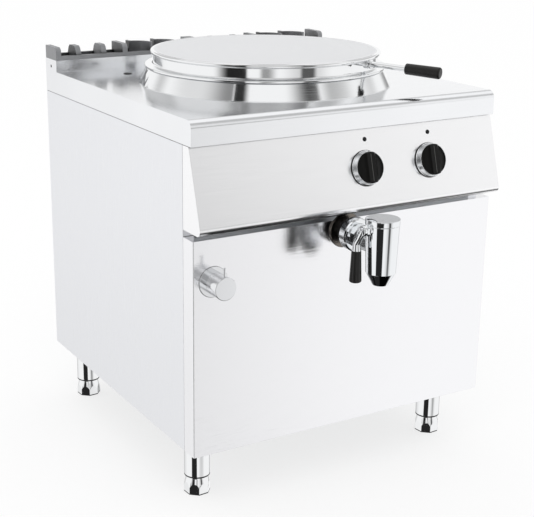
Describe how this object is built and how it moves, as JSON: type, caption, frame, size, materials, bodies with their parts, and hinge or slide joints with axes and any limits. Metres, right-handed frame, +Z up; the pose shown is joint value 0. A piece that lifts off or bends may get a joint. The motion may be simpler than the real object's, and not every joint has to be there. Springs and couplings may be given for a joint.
{
  "type": "electric cooking kettle",
  "caption": "Electric cooking kettle: round jacketed pan with hinged lid in a square stainless cabinet, with draw-off tap, level valve, control knobs and screw feet.",
  "frame": {"origin": "on the floor, below the middle of the whole outline", "axes": "+Z up, -Y towards the front with the tap and knobs, +X to the right as seen from the front"},
  "size_m": [0.8, 0.9826, 0.968],
  "materials": {
    "worktop_steel": "satin, faintly grained",
    "panel_steel": "satin",
    "frame_steel": "mill finish",
    "screw_steel": "bright",
    "foot_steel": "polished stainless steel",
    "black_plastic": "moulded",
    "pan_steel": "ground",
    "polished_steel": "mirror polished",
    "mineral_wool": "matt fibre blanket",
    "element_sheath": "dull",
    "valve_brass": "turned",
    "lid_steel": "matt top, polished skirt",
    "gasket": "silicone",
    "black_grip": "satin moulded",
    "tap_chrome": "chrome plated brass",
    "level_chrome": "chrome plated brass, satin",
    "bezel_chrome": "bright",
    "knob_black": "satin moulded",
    "lamp_lens": "dark lens",
    "switch_body": "moulded",
    "terminal_plastic": "moulded",
    "cast_grey": "grey enamel"
  },
  "bodies": {
    "cabinet": {"worktop": "worktop_steel", "side_panel_left": "panel_steel", "side_panel_right": "panel_steel", "rear_panel": "panel_steel", "front_panel": "panel_steel", "control_panel": "panel_steel", "recess_strip": "panel_steel", "floor_tray": "frame_steel", "corner_posts": "frame_steel", "frame_rails": "frame_steel", "floor_screws": "screw_steel", "foot_tubes": "foot_steel", "foot_bushes": "black_plastic", "pan": "pan_steel", "pan_collar": "polished_steel", "steam_jacket": "pan_steel", "insulation": "mineral_wool", "heating_elements": "element_sheath", "heater_flange": "frame_steel", "drain_pipe": "pan_steel", "level_pipe": "pan_steel", "safety_valve": "valve_brass", "hinge_bracket": "polished_steel", "hinge_pin": "polished_steel", "tap_rosette": "tap_chrome", "union_nut": "tap_chrome", "tap_neck": "tap_chrome", "spout": "tap_chrome", "spout_cap": "tap_chrome", "spindle_gland": "tap_chrome", "level_rosette": "level_chrome", "level_body": "level_chrome", "knob_bezels": "bezel_chrome", "indicator_lamps": "lamp_lens", "selector_switch": "switch_body", "energy_regulator": "switch_body", "control_tray": "frame_steel", "contactor": "switch_body", "terminal_block": "terminal_plastic", "cable_gland": "black_plastic", "flue_grille_left": "cast_grey", "flue_grille_right": "cast_grey", "worktop_plug": "black_plastic"},
    "lid": {"lid": "lid_steel", "lid_gasket": "gasket", "lid_handle_rod": "polished_steel", "lid_grip": "black_grip", "lid_hinge_arm": "polished_steel"},
    "tap_handle": {"tap_spindle": "tap_chrome", "tap_lever": "tap_chrome", "tap_grip": "black_grip"},
    "valve": {"valve_plunger": "valve_brass"},
    "level_handle": {"level_knob": "level_chrome"},
    "knob_left": {"knob_left": "knob_black"},
    "knob_right": {"knob_right": "knob_black"},
    "foot_front_left": {"foot_front_left": "foot_steel"},
    "foot_front_right": {"foot_front_right": "foot_steel"},
    "foot_rear_left": {"foot_rear_left": "foot_steel"},
    "foot_rear_right": {"foot_rear_right": "foot_steel"}
  },
  "joints": [
    {"name": "lid_hinge", "type": "hinge", "parent": "cabinet", "child": "lid", "pos_m": [-0.157, 0.33918, 0.928], "axis": [-0.866, -0.5, 0], "range_deg": [0, 82]},
    {"name": "tap_lever_turn", "type": "hinge", "parent": "cabinet", "child": "tap_handle", "pos_m": [-0.018, -0.45375, 0.651], "axis": [-1, 0, 0], "range_deg": [0, 90]},
    {"name": "valve_lift", "type": "slide", "parent": "cabinet", "child": "valve", "axis": [0, 0, 1], "range_m": [0, 0.0142]},
    {"name": "level_handle_turn", "type": "hinge", "parent": "cabinet", "child": "level_handle", "pos_m": [-0.352, -0.35875, 0.543], "axis": [0, 1, 0], "range_deg": [0, 90]},
    {"name": "knob_left_turn", "type": "hinge", "parent": "cabinet", "child": "knob_left", "pos_m": [0.0286, -0.32303, 0.7485], "axis": [0, 0.9593, -0.2823], "range_deg": [0, 270]},
    {"name": "knob_right_turn", "type": "hinge", "parent": "cabinet", "child": "knob_right", "pos_m": [0.204, -0.32303, 0.7485], "axis": [0, 0.9593, -0.2823], "range_deg": [0, 270]},
    {"name": "foot_front_left_screw", "type": "slide", "parent": "cabinet", "child": "foot_front_left", "axis": [0, 0, -1], "range_m": [0, 0.03]},
    {"name": "foot_front_right_screw", "type": "slide", "parent": "cabinet", "child": "foot_front_right", "axis": [0, 0, -1], "range_m": [0, 0.03]},
    {"name": "foot_rear_left_screw", "type": "slide", "parent": "cabinet", "child": "foot_rear_left", "axis": [0, 0, -1], "range_m": [0, 0.03]},
    {"name": "foot_rear_right_screw", "type": "slide", "parent": "cabinet", "child": "foot_rear_right", "axis": [0, 0, -1], "range_m": [0, 0.03]}
  ],
  "couplings": [
    {"joint": "valve_lift", "follows": "tap_lever_turn", "m_per_rad": 0.0090032}
  ]
}
